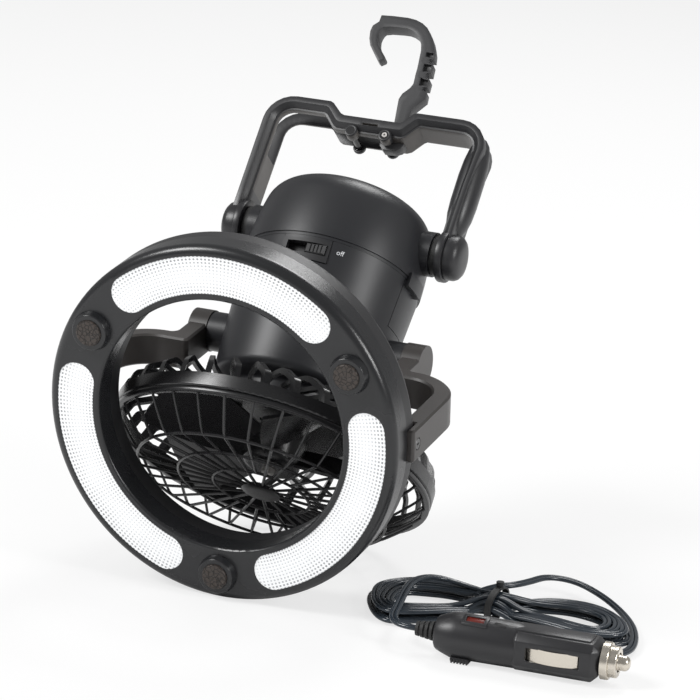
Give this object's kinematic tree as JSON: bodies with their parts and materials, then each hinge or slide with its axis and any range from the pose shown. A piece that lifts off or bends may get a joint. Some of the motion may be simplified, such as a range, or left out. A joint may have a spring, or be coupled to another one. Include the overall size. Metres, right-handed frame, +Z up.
{
  "type": "camping fan with ring light",
  "caption": "Portable camping fan in a tilting tower inside a ring-shaped lamp, with a folding carry handle, hanging hook and a coiled car power lead.",
  "frame": {"origin": "on the floor, under the middle of the fan's own bounding box (its lead left out)", "axes": "+Z up; -Y the way the lamp ring faces; +X to the side on which the lead lies, along the tilt axle"},
  "size_m": [0.2878, 0.2352, 0.2398],
  "materials": {
    "ring_plastic": "satin",
    "rear_plastic": "matte",
    "lens": "frosted",
    "circuit_board": "satin",
    "pad_rubber": "patterned",
    "yoke_plastic": "satin",
    "housing_plastic": "satin",
    "steel": "bright",
    "nickel": "polished",
    "knob_plastic": "ribbed",
    "fan_plastic": "satin",
    "hook_plastic": "satin",
    "cord_jacket": "glossy",
    "plug_plastic": "glossy",
    "black_rubber": "matte"
  },
  "bodies": {
    "ring_light": {"ring_bezel": "ring_plastic", "ring_rear_shell": "rear_plastic", "ring_screws": "steel", "lens_upper": "lens", "lens_left": "lens", "lens_right": "lens", "led_board_upper": "circuit_board", "led_board_left": "circuit_board", "led_board_right": "circuit_board", "foot_pad_right": "pad_rubber", "foot_pad_left": "pad_rubber", "foot_pad_lower": "pad_rubber", "yoke_arm_right": "yoke_plastic", "yoke_arm_left": "yoke_plastic", "yoke_screw_right": "steel", "yoke_screw_left": "steel", "lead_hank": "cord_jacket", "lead_tie": "black_rubber", "lead_tail_plug": "cord_jacket", "lead_tail_connector": "cord_jacket", "car_plug_body": "plug_plastic", "car_plug_strain_relief": "black_rubber", "car_plug_contact_front": "nickel", "car_plug_contact_rear": "nickel", "car_plug_nose_ring": "nickel", "dc_plug_body": "plug_plastic", "dc_plug_barrel": "nickel"},
    "tower": {"tower_housing": "housing_plastic", "tower_band": "yoke_plastic", "tower_dome": "housing_plastic", "battery_tray": "housing_plastic", "battery_contacts": "nickel", "switch_frame": "knob_plastic", "switch_board": "circuit_board", "dc_jack": "knob_plastic", "motor_can": "steel", "motor_screws": "steel", "cage_rear": "housing_plastic", "cage_front": "housing_plastic", "cage_screws": "steel", "handle_washer_right": "black_rubber", "handle_washer_left": "black_rubber", "handle_screw_right": "steel", "handle_screw_left": "steel"},
    "switch_knob": {"switch_slider": "knob_plastic"},
    "door": {"battery_door": "housing_plastic", "door_pin": "steel"},
    "fan": {"fan_shaft": "steel", "impeller": "fan_plastic", "impeller_nut": "steel"},
    "handle": {"handle_bail": "hook_plastic", "handle_cap_right": "hook_plastic", "handle_cap_left": "hook_plastic", "hook_pin": "steel", "stop_pin": "steel"},
    "hook": {"hanging_hook": "hook_plastic"},
    "plug_tip": {"car_plug_tip": "nickel"}
  },
  "joints": [
    {"name": "ring_tilt", "type": "hinge", "parent": "ring_light", "child": "tower", "pos_m": [0, -0.00292, 0.098], "axis": [1, 0, 0], "range_deg": [-43.7, 46.3]},
    {"name": "fan_spin", "type": "hinge", "parent": "tower", "child": "fan", "pos_m": [0, -0.03455, 0.05928], "axis": [0, 0.6326, 0.7744], "continuous": true},
    {"name": "switch_slide", "type": "slide", "parent": "tower", "child": "switch_knob", "axis": [-1, 0, 0], "range_m": [0, 0.0095]},
    {"name": "battery_door_swing", "type": "hinge", "parent": "tower", "child": "door", "pos_m": [0.01123, 0.04536, 0.09084], "axis": [0, 0.6326, 0.7744], "range_deg": [0, 95]},
    {"name": "handle_swing", "type": "hinge", "parent": "tower", "child": "handle", "pos_m": [0, 0.03346, 0.14253], "axis": [1, 0, 0], "range_deg": [-90, 60]},
    {"name": "hook_fold", "type": "hinge", "parent": "handle", "child": "hook", "pos_m": [0.0066, 0.06794, 0.18474], "axis": [0, -0.7744, 0.6326], "range_deg": [0, 80]},
    {"name": "plug_tip_press", "type": "slide", "parent": "ring_light", "child": "plug_tip", "axis": [-0.9976, -0.0687, 0], "range_m": [0, 0.003], "stiffness_N_per_m": 400}
  ]
}
